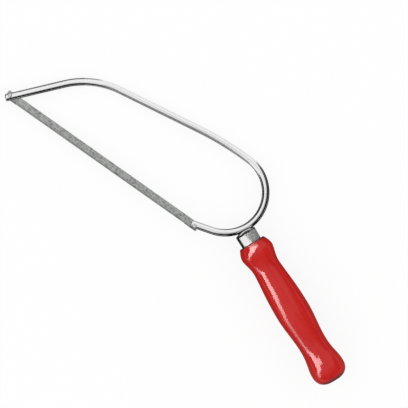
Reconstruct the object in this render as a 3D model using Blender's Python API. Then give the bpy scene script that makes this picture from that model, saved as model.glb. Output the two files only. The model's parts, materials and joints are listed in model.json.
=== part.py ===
"""Mini hacksaw: a sprung rod frame, a pinned blade and a turned wooden handle.

The saw is drawn flat in its own plane. The front blade pin is the drawing's origin, X runs along the
blade towards the handle, Y points to the frame's back and Z leaves the plane. One parent empty then lays
the finished saw on a bench, on the frame's nose bend and the handle's head, with the origin under the
middle of it.
"""

import math

import bmesh
import bpy
from mathutils import Matrix, Vector

MM = 0.001

# Blade and its pins
PIN_SPACING = 150.0 * MM
BLADE_HEIGHT = 5.6 * MM
BLADE_THICKNESS = 0.65 * MM
BLADE_END = 2.5 * MM
BLADE_CORNER = 0.6 * MM
TEETH_PER_INCH = 32
INCH = 25.4 * MM
TOOTH_DEPTH = 0.45 * MM
TOOTH_FACE = 0.12
TOOTHLESS_END = 7.0 * MM
SET_BAND = 1.5 * MM
SET_WAVE = 0.2 * MM
SET_WAVE_TEETH = 8
PIN_DIAMETER = 2.3 * MM
PIN_LENGTH = 6.4 * MM
PIN_CHAMFER = 0.25 * MM

# Rod frame
ROD_DIAMETER = 5.0 * MM
ROD_CHAMFER = 0.5 * MM
NOSE_ANGLE = math.radians(48.5)
NOSE_OVERHANG = 3.4 * MM
NOSE_BEND_RADIUS = 56.0 * MM
BACK_SLOPE = math.radians(8.9)
SHOULDER_RADIUS = 210.0 * MM
SHOULDER_TURN = math.radians(10.7)
BOW_RADIUS = 26.8 * MM
TAIL_ANGLE = math.radians(15.9)
TAIL_REACH = 11.9 * MM
TAIL_OVERHANG = 2.9 * MM
PIN_OFFSET = 0.8 * MM
BEND_CHORD_ERROR = 0.04 * MM

# Where the handle meets the bow
SEAT_ANGLE = math.radians(-28.9)
HANDLE_ANGLE = math.radians(-23.6)
COLLAR_RADIUS = 7.2 * MM
COLLAR_LAP = 1.4 * MM
COLLAR_WEB = 0.5 * MM
COLLAR_RIM = 0.4 * MM
TANG_DIAMETER = 4.8 * MM
TANG_LENGTH = 66.0 * MM
TANG_POINT = 9.0 * MM
TANG_TIP_DIAMETER = 1.6 * MM

# Ferrule
FERRULE_LENGTH = 7.15 * MM
FERRULE_FRONT_RADIUS = 7.2 * MM
FERRULE_BACK_RADIUS = 7.05 * MM
FERRULE_WALL = 0.7 * MM
FERRULE_CAP = 0.8 * MM
FERRULE_EDGE = 0.5 * MM

# Handle, stations measured from its shoulder
SHOULDER_RIM_RADIUS = 9.4 * MM
SHOULDER_ROUND = 0.8 * MM
HEAD_AT = 7.3 * MM
HEAD_RADIUS = 11.6 * MM
FRONT_NECK_AT = 19.3 * MM
FRONT_NECK_RADIUS = 9.5 * MM
FRONT_NECK_EASE = 0.8
SWELL_AT = 53.0 * MM
SWELL_RADIUS = 11.5 * MM
SWELL_EASE = 0.68
REAR_NECK_AT = 78.6 * MM
REAR_NECK_RADIUS = 9.65 * MM
REAR_NECK_EASE = 1.0
BUTT_AT = 97.0 * MM
BUTT_RADIUS = 11.9 * MM
BUTT_EASE = 1.25
BUTT_DOME = 9.9 * MM
BUTT_FULLNESS = 2.5
BUTT_FLAT_RADIUS = 4.5 * MM

# Clearances
SEAM = 0.3 * MM
PIN_FIT = 0.1 * MM
NOTCH_FIT = 0.2 * MM
SLOT_FIT = 0.18 * MM
SLOT_RUNOUT = 1.0 * MM
CUT_PAST = 1.0 * MM

# Facets and shading
ROD_SIDES = 16
TURNED_SIDES = 40
SMALL_SIDES = 20
WAVE_STEPS = 7
ROUND_STEPS = 7
WELD_DISTANCE = 0.001 * MM
SMOOTH_ANGLE = math.radians(35)
BLADE_SMOOTH_ANGLE = math.radians(20)

ROD_RADIUS = ROD_DIAMETER / 2
PIN_RADIUS = PIN_DIAMETER / 2
TANG_RADIUS = TANG_DIAMETER / 2
TOOTH_PITCH = INCH / TEETH_PER_INCH
FRONT_PIN = Vector((0.0, 0.0, 0.0))
REAR_PIN = Vector((PIN_SPACING, 0.0, 0.0))
UP = Vector((0.0, 0.0, 1.0))


def clear_scene():
    """Start from an empty scene."""
    for item in list(bpy.data.objects):
        bpy.data.objects.remove(item, do_unlink=True)


def heading(angle):
    """Unit vector in the saw's plane."""
    return Vector((math.cos(angle), math.sin(angle), 0.0))


def left_of(direction):
    """Unit vector a quarter turn to the left of a heading."""
    return Vector((-direction.y, direction.x, 0.0))


def material(name, colour, roughness, metallic):
    """Principled material of one colour."""
    made = bpy.data.materials.new(name)
    made.use_nodes = True
    shader = made.node_tree.nodes["Principled BSDF"]
    shader.inputs["Base Color"].default_value = (*colour, 1.0)
    shader.inputs["Roughness"].default_value = roughness
    shader.inputs["Metallic"].default_value = metallic
    return made


def add_object(name, mesh, finish, parent):
    """Link a mesh as a named piece of the saw."""
    piece = bpy.data.objects.new(name, mesh)
    bpy.context.collection.objects.link(piece)
    piece.parent = parent
    if finish:
        mesh.materials.append(finish)
    return piece


def mesh_from(shape, name, smooth_angle=SMOOTH_ANGLE):
    """Turn a bmesh into a smooth-shaded mesh with its faces pointing out."""
    bmesh.ops.recalc_face_normals(shape, faces=shape.faces)
    mesh = bpy.data.meshes.new(name)
    shape.to_mesh(mesh)
    shape.free()
    mesh.shade_smooth()
    mesh.set_sharp_from_angle(angle=smooth_angle)
    return mesh


def turned(name, profile, sides, closed=False):
    """Mesh spun about Z from (radius, height) points, a ring where the profile is closed."""
    shape = bmesh.new()
    points = [shape.verts.new((radius, 0.0, height)) for radius, height in profile]
    ends = points[1:] + points[:1] if closed else points[1:]
    edges = [shape.edges.new(pair) for pair in zip(points, ends)]
    bmesh.ops.spin(shape, geom=points + edges, cent=(0.0, 0.0, 0.0), axis=UP, angle=math.tau,
                   steps=sides, use_merge=True)
    bmesh.ops.remove_doubles(shape, verts=shape.verts, dist=WELD_DISTANCE)
    return mesh_from(shape, name)


def cut(piece, cutter):
    """Take a cutter's volume out of a piece."""
    cutter.hide_render = True
    cutter.display_type = "WIRE"
    boolean = piece.modifiers.new(cutter.name, "BOOLEAN")
    boolean.operation = "DIFFERENCE"
    boolean.solver = "EXACT"
    boolean.object = cutter


def arc(centre, radius, start, end):
    """Points of a right-hand bend between two headings, spaced to keep its chords close to the curve."""
    step = 2 * math.acos(1 - BEND_CHORD_ERROR / radius)
    count = math.ceil((start - end) / step)
    angles = [start + (end - start) * index / count for index in range(count + 1)]
    return [centre + left_of(heading(angle)) * radius for angle in angles]


class RodRoute:
    """Centre line of the rod, set out from the two blade pins."""

    def __init__(self):
        self.nose = heading(NOSE_ANGLE)
        self.nose_foot = FRONT_PIN - left_of(self.nose) * PIN_OFFSET
        self.tail = heading(TAIL_ANGLE)
        self.tail_foot = REAR_PIN + left_of(self.tail) * PIN_OFFSET
        self.set_out_bow()
        self.set_out_nose_bend()

    def set_out_bow(self):
        """The bow rises from the tail and runs into the flatter shoulder of the back."""
        bow_end = self.tail_foot + self.tail * TAIL_REACH
        self.bow_centre = bow_end + left_of(self.tail) * BOW_RADIUS
        self.crown_angle = BACK_SLOPE - SHOULDER_TURN
        drop = SHOULDER_RADIUS - BOW_RADIUS
        self.shoulder_centre = self.bow_centre - left_of(heading(self.crown_angle)) * drop

    def set_out_nose_bend(self):
        """The nose bend rounds the corner between the nose leg and the straight back."""
        back = heading(BACK_SLOPE)
        back_point = self.shoulder_centre + left_of(back) * SHOULDER_RADIUS
        gap = back_point - self.nose_foot
        along = gap.dot(left_of(back)) / self.nose.dot(left_of(back))
        corner = self.nose_foot + self.nose * along
        setback = NOSE_BEND_RADIUS * math.tan((NOSE_ANGLE - BACK_SLOPE) / 2)
        self.bend_centre = corner - self.nose * setback - left_of(self.nose) * NOSE_BEND_RADIUS

    def bend_middle(self):
        """Middle of the nose bend and the rod's heading there."""
        along = heading((NOSE_ANGLE + BACK_SLOPE) / 2)
        return self.bend_centre + left_of(along) * NOSE_BEND_RADIUS, along

    def seat(self):
        """Point of the bow that the handle's axis runs through."""
        return self.bow_centre + heading(SEAT_ANGLE) * BOW_RADIUS

    def bow(self):
        """Points round the bow, from the shoulder to the tail."""
        return arc(self.bow_centre, BOW_RADIUS, self.crown_angle, TAIL_ANGLE - math.pi)

    def points(self):
        """Points from the nose tip to the tail's end, the chamfers' inner edges included."""
        tip = self.nose_foot - self.nose * NOSE_OVERHANG
        end = self.tail_foot - self.tail * TAIL_OVERHANG
        bend = arc(self.bend_centre, NOSE_BEND_RADIUS, NOSE_ANGLE, BACK_SLOPE)
        shoulder = arc(self.shoulder_centre, SHOULDER_RADIUS, BACK_SLOPE, self.crown_angle)
        nose_leg = [tip, tip + self.nose * ROD_CHAMFER]
        tail_leg = [end + self.tail * ROD_CHAMFER, end]
        return nose_leg + bend + shoulder[:-1] + self.bow() + tail_leg


def tube(name, points, radius, end_radius):
    """Closed round bar along a route, narrowed at both ends."""
    curve = bpy.data.curves.new(name, "CURVE")
    curve.dimensions = "3D"
    curve.bevel_depth = radius
    curve.bevel_resolution = (ROD_SIDES - 4) // 2
    curve.use_fill_caps = True
    spline = curve.splines.new("POLY")
    spline.points.add(len(points) - 1)
    for knot, point in zip(spline.points, points):
        knot.co = (*point, 1.0)
    spline.points[0].radius = end_radius / radius
    spline.points[-1].radius = end_radius / radius
    guide = bpy.data.objects.new(name, curve)
    bpy.context.collection.objects.link(guide)
    view = bpy.context.evaluated_depsgraph_get()
    swept = bpy.data.meshes.new_from_object(guide.evaluated_get(view))
    bpy.data.objects.remove(guide, do_unlink=True)
    shape = bmesh.new()
    shape.from_mesh(swept)
    bmesh.ops.remove_doubles(shape, verts=shape.verts, dist=WELD_DISTANCE)
    return mesh_from(shape, name)


def box_cutter(name, foot, along, back, ahead, width, depth, parent):
    """Box cutter in the saw's plane, from behind a foot point to ahead of it along a heading."""
    shape = bmesh.new()
    bmesh.ops.create_cube(shape, size=1.0)
    bmesh.ops.scale(shape, vec=(back + ahead, width, depth), verts=shape.verts)
    bmesh.ops.translate(shape, vec=((ahead - back) / 2, 0.0, 0.0), verts=shape.verts)
    turn = Matrix.Rotation(math.atan2(along.y, along.x), 3, "Z")
    bmesh.ops.rotate(shape, matrix=turn, verts=shape.verts)
    bmesh.ops.translate(shape, vec=foot, verts=shape.verts)
    return add_object(name, mesh_from(shape, name), None, parent)


def notch_cutter(name, pin, way_out, parent):
    """Round-bottomed cutter round a pin, open along the way that the pin leaves."""
    radius = PIN_RADIUS + NOTCH_FIT
    side = left_of(way_out)
    reach = ROD_DIAMETER + CUT_PAST
    half_turn = [math.pi * index / (SMALL_SIDES // 2) for index in range(SMALL_SIDES // 2 + 1)]
    floor = [pin + side * (radius * math.cos(a)) - way_out * (radius * math.sin(a)) for a in half_turn]
    outline = floor + [pin + way_out * reach - side * radius, pin + way_out * reach + side * radius]
    shape = bmesh.new()
    face = shape.faces.new([shape.verts.new(point - UP * reach / 2) for point in outline])
    grown = bmesh.ops.extrude_face_region(shape, geom=[face])
    raised = [item for item in grown["geom"] if isinstance(item, bmesh.types.BMVert)]
    bmesh.ops.translate(shape, vec=UP * reach, verts=raised)
    return add_object(name, mesh_from(shape, name), None, parent)


def cut_blade_seats(frame, route, parent):
    """Saw a slot into each rod end for the blade and file a notch across it for the pin."""
    slot = BLADE_THICKNESS + 2 * SLOT_FIT
    across = ROD_DIAMETER + 2 * CUT_PAST
    outer = left_of(route.nose)
    blade_back = BLADE_HEIGHT / 2 - route.nose_foot.y + ROD_RADIUS * outer.y
    nose_depth = blade_back / route.nose.y + SLOT_RUNOUT
    tail_depth = Vector((BLADE_END, BLADE_HEIGHT / 2, 0.0)).dot(route.tail) + SLOT_RUNOUT
    nose_slot = box_cutter("nose_slot", route.nose_foot, route.nose, NOSE_OVERHANG + CUT_PAST, nose_depth,
                           across, slot, parent)
    tail_slot = box_cutter("tail_slot", route.tail_foot, route.tail, TAIL_OVERHANG + CUT_PAST, tail_depth,
                           across, slot, parent)
    cut(frame, nose_slot)
    cut(frame, notch_cutter("nose_notch", FRONT_PIN, outer, parent))
    cut(frame, tail_slot)
    cut(frame, notch_cutter("tail_notch", REAR_PIN, Vector((0.0, -1.0, 0.0)), parent))


def make_frame(route, parent):
    """One bent rod with chamfered, slotted and notched ends."""
    plated = material("bright_plated_steel", (0.80, 0.80, 0.81), 0.16, 1.0)
    mesh = tube("frame_rod", route.points(), ROD_RADIUS, ROD_RADIUS - ROD_CHAMFER)
    frame = add_object("frame_rod", mesh, plated, parent)
    cut_blade_seats(frame, route, parent)
    return frame


def tooth_edge():
    """(x, height above the tooth tips) along the cutting edge, each tooth upright towards the nose."""
    count = int((PIN_SPACING - 2 * TOOTHLESS_END) / TOOTH_PITCH)
    first = (PIN_SPACING - count * TOOTH_PITCH) / 2
    edge = []
    for tooth in range(count):
        root = first + tooth * TOOTH_PITCH
        edge.append((root, TOOTH_DEPTH))
        edge.append((root + TOOTH_FACE * TOOTH_PITCH, 0.0))
    edge.append((first + count * TOOTH_PITCH, TOOTH_DEPTH))
    return edge


def blade_section(shape, x, rise, drop, sway):
    """Six corners of the blade's section: the edge swayed by the set, the band's top and the back."""
    half = BLADE_THICKNESS / 2
    edge = -BLADE_HEIGHT / 2 + rise
    band = -BLADE_HEIGHT / 2 + SET_BAND
    back = BLADE_HEIGHT / 2 - drop
    near = [(edge, sway + half), (band, half), (back, half)]
    far = [(back, -half), (band, -half), (edge, sway - half)]
    return [shape.verts.new((x, y, z)) for y, z in near + far]


def blade_sections(shape):
    """Sections from the nose end to the handle end, the teeth waving from side to side between."""
    front = -BLADE_END
    rear = PIN_SPACING + BLADE_END
    wave = math.tau / (SET_WAVE_TEETH * TOOTH_PITCH)
    teeth = tooth_edge()
    rows = [blade_section(shape, front, BLADE_CORNER, BLADE_CORNER, 0.0)]
    rows.append(blade_section(shape, front + BLADE_CORNER, 0.0, 0.0, 0.0))
    rows.append(blade_section(shape, teeth[0][0] - TOOTH_PITCH, 0.0, 0.0, 0.0))
    for x, rise in teeth:
        sway = SET_WAVE * (1 - rise / SET_BAND) * math.sin(wave * (x - teeth[0][0]))
        rows.append(blade_section(shape, x, rise, 0.0, sway))
    rows.append(blade_section(shape, teeth[-1][0] + TOOTH_PITCH, 0.0, 0.0, 0.0))
    rows.append(blade_section(shape, rear - BLADE_CORNER, 0.0, 0.0, 0.0))
    rows.append(blade_section(shape, rear, BLADE_CORNER, BLADE_CORNER, 0.0))
    return rows


def make_blade(parent):
    """Toothed strip with a wavy set, holed at both ends, its origin on the front pin's axis."""
    steel = material("grey_blade_steel", (0.30, 0.31, 0.30), 0.45, 0.9)
    shape = bmesh.new()
    rows = blade_sections(shape)
    for near, far in zip(rows, rows[1:]):
        for index in range(len(near)):
            after = (index + 1) % len(near)
            shape.faces.new((near[index], near[after], far[after], far[index]))
    shape.faces.new(rows[0])
    shape.faces.new(rows[-1])
    blade = add_object("saw_blade", mesh_from(shape, "saw_blade", BLADE_SMOOTH_ANGLE), steel, parent)
    hole_radius = PIN_RADIUS + PIN_FIT
    hole = ((0.0, CUT_PAST), (hole_radius, CUT_PAST), (hole_radius, -CUT_PAST), (0.0, -CUT_PAST))
    for name, place in (("front_pin_hole", FRONT_PIN), ("rear_pin_hole", REAR_PIN)):
        cutter = add_object(name, turned(name, hole, SMALL_SIDES), None, blade)
        cutter.location = place
        cut(blade, cutter)
    return blade


def make_blade_pins(blade):
    """Cross pins through the blade's ends, which move with it."""
    steel = material("pin_steel", (0.45, 0.45, 0.46), 0.35, 1.0)
    half = PIN_LENGTH / 2
    flat = PIN_RADIUS - PIN_CHAMFER
    side = half - PIN_CHAMFER
    profile = ((0.0, half), (flat, half), (PIN_RADIUS, side),
               (PIN_RADIUS, -side), (flat, -half), (0.0, -half))
    for name, place in (("front_blade_pin", FRONT_PIN), ("rear_blade_pin", REAR_PIN)):
        pin = add_object(name, turned(name, profile, SMALL_SIDES), steel, blade)
        pin.location = place


class HandleStack:
    """Stations along the handle's axis, measured from the rod's centre line at the seat."""

    rod_face = ROD_RADIUS / math.cos(SEAT_ANGLE - HANDLE_ANGLE)
    collar_front = rod_face - COLLAR_LAP
    collar_back = rod_face + SEAM + COLLAR_WEB
    ferrule_front = collar_back + SEAM
    ferrule_back = ferrule_front + FERRULE_LENGTH
    shoulder = ferrule_back + SEAM
    tenon_front = ferrule_front + FERRULE_CAP + SEAM
    tenon_radius = FERRULE_BACK_RADIUS - FERRULE_WALL - SEAM
    hole_radius = TANG_RADIUS + SEAM
    tang_tip = rod_face + TANG_LENGTH
    bore_end = tang_tip + SEAM


def make_handle_axis(route, parent):
    """Empty at the bow's seat whose Z runs down the handle."""
    axis = bpy.data.objects.new("handle_axis", None)
    bpy.context.collection.objects.link(axis)
    axis.parent = parent
    axis.location = route.seat()
    axis.rotation_euler = heading(HANDLE_ANGLE).to_track_quat("Z", "Y").to_euler()
    return axis


def saddle_cutter(route, parent):
    """Stretch of the bow grown by the seam, which shapes what seats on it."""
    reach = (COLLAR_RADIUS + ROD_RADIUS) / BOW_RADIUS
    middle = SEAT_ANGLE - math.pi / 2
    points = arc(route.bow_centre, BOW_RADIUS, middle + reach, middle - reach)
    radius = (ROD_RADIUS + SEAM) / math.cos(math.pi / ROD_SIDES)
    return add_object("saddle", tube("saddle", points, radius, radius), None, parent)


def make_saddle_collar(axis, saddle):
    """Domed steel washer with a channel across its crown for the bow and a hole for the tang."""
    steel = material("collar_steel", (0.72, 0.72, 0.72), 0.25, 1.0)
    front = HandleStack.collar_front
    back = HandleStack.collar_back
    hole = HandleStack.hole_radius
    rise = back - COLLAR_RIM - front
    radii = [hole + (COLLAR_RADIUS - hole) * index / ROUND_STEPS for index in range(ROUND_STEPS + 1)]
    dome = [(radius, front + rise * (radius / COLLAR_RADIUS) ** 2) for radius in radii]
    profile = dome + [(COLLAR_RADIUS, back), (hole, back)]
    collar = add_object("saddle_collar", turned("saddle_collar", profile, TURNED_SIDES, True), steel, axis)
    cut(collar, saddle)


def make_tang(axis, saddle):
    """Pointed stud from the bow into the handle."""
    steel = material("tang_steel", (0.40, 0.40, 0.41), 0.4, 1.0)
    tip = HandleStack.tang_tip
    tip_radius = TANG_TIP_DIAMETER / 2
    profile = ((0.0, 0.0), (TANG_RADIUS, 0.0), (TANG_RADIUS, tip - TANG_POINT), (tip_radius, tip), (0.0, tip))
    tang = add_object("tang", turned("tang", profile, SMALL_SIDES), steel, axis)
    cut(tang, saddle)


def make_ferrule(axis):
    """Drawn cap: a pierced end with a rounded edge and a slightly tapered wall."""
    steel = material("ferrule_steel", (0.66, 0.66, 0.66), 0.22, 1.0)
    front = HandleStack.ferrule_front
    back = HandleStack.ferrule_back
    hole = HandleStack.hole_radius
    inner = front + FERRULE_CAP
    flat = FERRULE_FRONT_RADIUS - FERRULE_EDGE
    bore = FERRULE_BACK_RADIUS - FERRULE_WALL
    angles = [math.pi / 2 * index / ROUND_STEPS for index in range(ROUND_STEPS + 1)]
    edge = [(flat + FERRULE_EDGE * math.sin(a), front + FERRULE_EDGE * (1 - math.cos(a))) for a in angles]
    wall = [(FERRULE_BACK_RADIUS, back), (bore, back), (bore, inner)]
    profile = [(hole, front)] + edge + wall + [(hole, inner)]
    add_object("ferrule", turned("ferrule", profile, TURNED_SIDES, True), steel, axis)


def half_wave(start, end, ease):
    """(radius, station) points from one crest or waist to the next, eased towards either."""
    points = []
    for index in range(1, WAVE_STEPS + 1):
        along = index / WAVE_STEPS
        blend = (1 - math.cos(math.pi * along ** ease)) / 2
        points.append((start[0] + (end[0] - start[0]) * blend, start[1] + (end[1] - start[1]) * along))
    return points


def quarter_wave(start, end):
    """(radius, station) points that leave a start steeply and level off at the end."""
    points = []
    for index in range(ROUND_STEPS + 1):
        along = index / ROUND_STEPS
        blend = math.sin(math.pi / 2 * along)
        points.append((start[0] + (end[0] - start[0]) * blend, start[1] + (end[1] - start[1]) * along))
    return points


def butt_dome():
    """(radius, station) points over the butt, a squarish ellipse that ends at the parting flat."""
    power = 2 / BUTT_FULLNESS
    flat = math.asin((BUTT_FLAT_RADIUS / BUTT_RADIUS) ** (1 / power))
    points = []
    for index in range(1, ROUND_STEPS + 1):
        angle = math.pi / 2 + (flat - math.pi / 2) * index / ROUND_STEPS
        bulge = BUTT_DOME * math.cos(angle) ** power
        points.append((BUTT_RADIUS * math.sin(angle) ** power, BUTT_AT + bulge))
    return points


def handle_outline():
    """(radius, station) points of the turned outside, from the shoulder's rim to the butt."""
    rim = (SHOULDER_RIM_RADIUS, SHOULDER_ROUND)
    head = (HEAD_RADIUS, HEAD_AT)
    front_neck = (FRONT_NECK_RADIUS, FRONT_NECK_AT)
    swell = (SWELL_RADIUS, SWELL_AT)
    rear_neck = (REAR_NECK_RADIUS, REAR_NECK_AT)
    butt = (BUTT_RADIUS, BUTT_AT)
    outline = [(SHOULDER_RIM_RADIUS - SHOULDER_ROUND, 0.0)] + quarter_wave(rim, head)
    outline += half_wave(head, front_neck, FRONT_NECK_EASE)
    outline += half_wave(front_neck, swell, SWELL_EASE)
    outline += half_wave(swell, rear_neck, REAR_NECK_EASE)
    outline += half_wave(rear_neck, butt, BUTT_EASE)
    return outline + butt_dome()


def make_handle(axis):
    """Turned handle with a tenon for the ferrule and a blind bore for the tang."""
    lacquer = material("red_lacquered_wood", (0.56, 0.02, 0.018), 0.22, 0.0)
    shoulder = HandleStack.shoulder
    hole = HandleStack.hole_radius
    tenon = HandleStack.tenon_radius
    front = HandleStack.tenon_front
    bore = [(0.0, HandleStack.bore_end), (hole, HandleStack.bore_end), (hole, front)]
    outside = [(radius, shoulder + station) for radius, station in handle_outline()]
    profile = bore + [(tenon, front), (tenon, shoulder)] + outside + [(0.0, outside[-1][1])]
    add_object("handle", turned("handle", profile, TURNED_SIDES), lacquer, axis)


def bench_tilt(route):
    """Turn about the nose bend that lets the handle's head down onto the bench."""
    bend, along = route.bend_middle()
    across = -left_of(along)
    lifts = []
    for radius, station in handle_outline():
        point = route.seat() + heading(HANDLE_ANGLE) * (HandleStack.shoulder + station)
        lifts.append((radius - ROD_RADIUS) / (point - bend).dot(across))
    return Matrix.Rotation(-math.asin(max(lifts)), 3, along)


def lay_on_bench(pose, route):
    """Tilt the saw to its rest and put the origin on the bench under the middle of its box."""
    pose.rotation_euler = bench_tilt(route).to_euler()
    bpy.context.view_layer.update()
    view = bpy.context.evaluated_depsgraph_get()
    corners = []
    for item in bpy.data.objects:
        if item.type == "MESH" and not item.hide_render:
            solid = item.evaluated_get(view)
            corners += [solid.matrix_world @ vertex.co for vertex in solid.data.vertices]
    low = [min(corner[axis] for corner in corners) for axis in range(3)]
    high = [max(corner[axis] for corner in corners) for axis in range(3)]
    pose.location = (-(low[0] + high[0]) / 2, -(low[1] + high[1]) / 2, -low[2])


def main():
    """Build the saw and lay it down."""
    clear_scene()
    route = RodRoute()
    pose = bpy.data.objects.new("bench_pose", None)
    bpy.context.collection.objects.link(pose)
    make_frame(route, pose)
    blade = make_blade(pose)
    make_blade_pins(blade)
    axis = make_handle_axis(route, pose)
    saddle = saddle_cutter(route, pose)
    make_saddle_collar(axis, saddle)
    make_tang(axis, saddle)
    make_ferrule(axis)
    make_handle(axis)
    lay_on_bench(pose, route)
    bpy.context.view_layer.update()


main()
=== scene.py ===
"""Looks of the mini hacksaw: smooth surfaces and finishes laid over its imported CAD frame.

Surfaces are drawn in the saw's own plane, with the front blade pin at the origin, X along the blade towards
the handle, Y to the frame's back and Z out of the plane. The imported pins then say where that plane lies.
Lengths are in metres and pattern coordinates in millimetres.
"""

from __future__ import annotations

import json
import logging
import math
from collections.abc import Sequence
from dataclasses import dataclass
from enum import Enum

import bmesh
import bpy
import numpy as np
from mathutils import Matrix, Vector

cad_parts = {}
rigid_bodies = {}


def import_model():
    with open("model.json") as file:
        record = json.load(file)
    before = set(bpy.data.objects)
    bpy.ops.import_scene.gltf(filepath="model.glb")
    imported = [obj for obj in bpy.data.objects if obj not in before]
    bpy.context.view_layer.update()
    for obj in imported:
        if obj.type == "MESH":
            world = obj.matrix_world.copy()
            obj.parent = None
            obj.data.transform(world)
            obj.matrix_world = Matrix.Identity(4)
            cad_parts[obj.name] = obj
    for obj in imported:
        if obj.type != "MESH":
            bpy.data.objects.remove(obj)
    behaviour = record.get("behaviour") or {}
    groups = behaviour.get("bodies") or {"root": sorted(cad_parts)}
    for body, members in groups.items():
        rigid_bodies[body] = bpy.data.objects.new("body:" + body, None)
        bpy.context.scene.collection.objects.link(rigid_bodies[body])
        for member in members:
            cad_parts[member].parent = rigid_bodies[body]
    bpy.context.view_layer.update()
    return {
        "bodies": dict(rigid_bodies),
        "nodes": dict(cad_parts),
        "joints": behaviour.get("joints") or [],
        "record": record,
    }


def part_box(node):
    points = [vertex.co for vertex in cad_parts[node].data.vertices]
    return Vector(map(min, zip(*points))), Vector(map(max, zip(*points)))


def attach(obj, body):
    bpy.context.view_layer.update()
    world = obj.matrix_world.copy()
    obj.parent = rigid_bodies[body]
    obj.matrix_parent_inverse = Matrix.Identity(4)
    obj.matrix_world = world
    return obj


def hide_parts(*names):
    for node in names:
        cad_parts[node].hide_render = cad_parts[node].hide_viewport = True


LOG = logging.getLogger("hacksaw")
MM = 0.001
INCH = 25.4 * MM
TURN = 2 * math.pi
QUARTER = math.pi / 2
NOISE_MIDDLE = 0.5
OUT = np.array((0.0, 0.0, 1.0))
SEAM = 0.3 * MM
WELD = 0.001 * MM
QUAD = 4
PATTERN = "drawn"
# Sockets of a Mix node that hold its two colours and their blend.
MIX_FIRST, MIX_SECOND, MIX_RESULT = 6, 7, 2

Array = np.ndarray
Pair = tuple[float, float]
Triple = tuple[float, float, float]
Colour = Triple
# In a finish: a constant, then what each noise or mask adds, in the order that wire names them.
Weights = tuple[float, ...]
Piece = bpy.types.Object
Socket = bpy.types.NodeSocket


class Body(Enum):
    """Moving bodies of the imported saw."""

    FRAME = "frame"
    BLADE = "blade"


class Slot(Enum):
    """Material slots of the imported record."""

    ROD = "plated_rod"
    COLLAR = "collar_steel"
    FERRULE = "ferrule_steel"
    HANDLE = "lacquered_wood"
    BLADE = "blade_steel"
    PIN = "pin_steel"


class Ends(Enum):
    """What a stack of rings does at its two ends."""

    CAPPED = "a flat face each"
    JOINED = "the last ring meets the first"
    OPEN = "left open"
    SHEET = "left open, and so is every ring"


def grid(*coordinates: Array | float) -> Array:
    """Points from their coordinates, each stretched to the layout that all have in common."""
    return np.stack(np.broadcast_arrays(*coordinates), -1)


def heading(angle: Array | float) -> Array:
    """Unit vector in the saw's plane at an angle from the blade, or one for each of several angles."""
    return grid(np.cos(angle), np.sin(angle), 0.0)


def left_of(direction: Array) -> Array:
    """Direction a quarter turn to the left of another in the saw's plane."""
    return np.cross(OUT, direction)


def circle(sides: int) -> tuple[Array, Array]:
    """Cosines and sines of a circle's evenly spaced corners."""
    angle = np.linspace(0.0, TURN, sides, endpoint=False)
    return np.cos(angle), np.sin(angle)


def round_off(size: float, steps: int, reach: float = QUARTER) -> tuple[Array, Array]:
    """Rounded edge, whose inset falls from the size as its advance grows from 0.

    The inset is size times one less the sine, and the advance size times one less the cosine.

    Args:
        size: Radius of the edge.
        steps: Number of facets.
        reach: Angle that it turns through, a quarter turn unless it runs into a slope.

    Returns:
        The insets and the advances.
    """
    turn = np.linspace(0.0, reach, steps + 1)
    return size * (1 - np.sin(turn)), size * (1 - np.cos(turn))


@dataclass(frozen=True)
class SawPlane:
    """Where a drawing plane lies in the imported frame.

    Attributes:
        origin: The plane's origin, for the saw its front pin's centre.
        axes: The plane's X, Y and Z as rows.
    """

    origin: Array
    axes: Array

    @classmethod
    def from_frame(cls, frame: dict) -> SawPlane:
        """Read the saw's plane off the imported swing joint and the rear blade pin.


        Returns:
            The plane.
        """
        swing = frame["joints"][0]
        origin = np.array(swing["pos_m"])
        out = -np.array(swing["axis"])
        low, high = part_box("rear_blade_pin")
        along = (np.array(low) + np.array(high)) / 2 - origin
        along = along - out * (along @ out)
        along = along / np.linalg.norm(along)
        return cls(origin, np.stack((along, np.cross(out, along), out)))

    def place(self, points: Array) -> Array:
        """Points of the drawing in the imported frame."""
        return self.origin + points @ self.axes


BENCH = SawPlane(np.zeros(3), np.eye(3))


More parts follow.
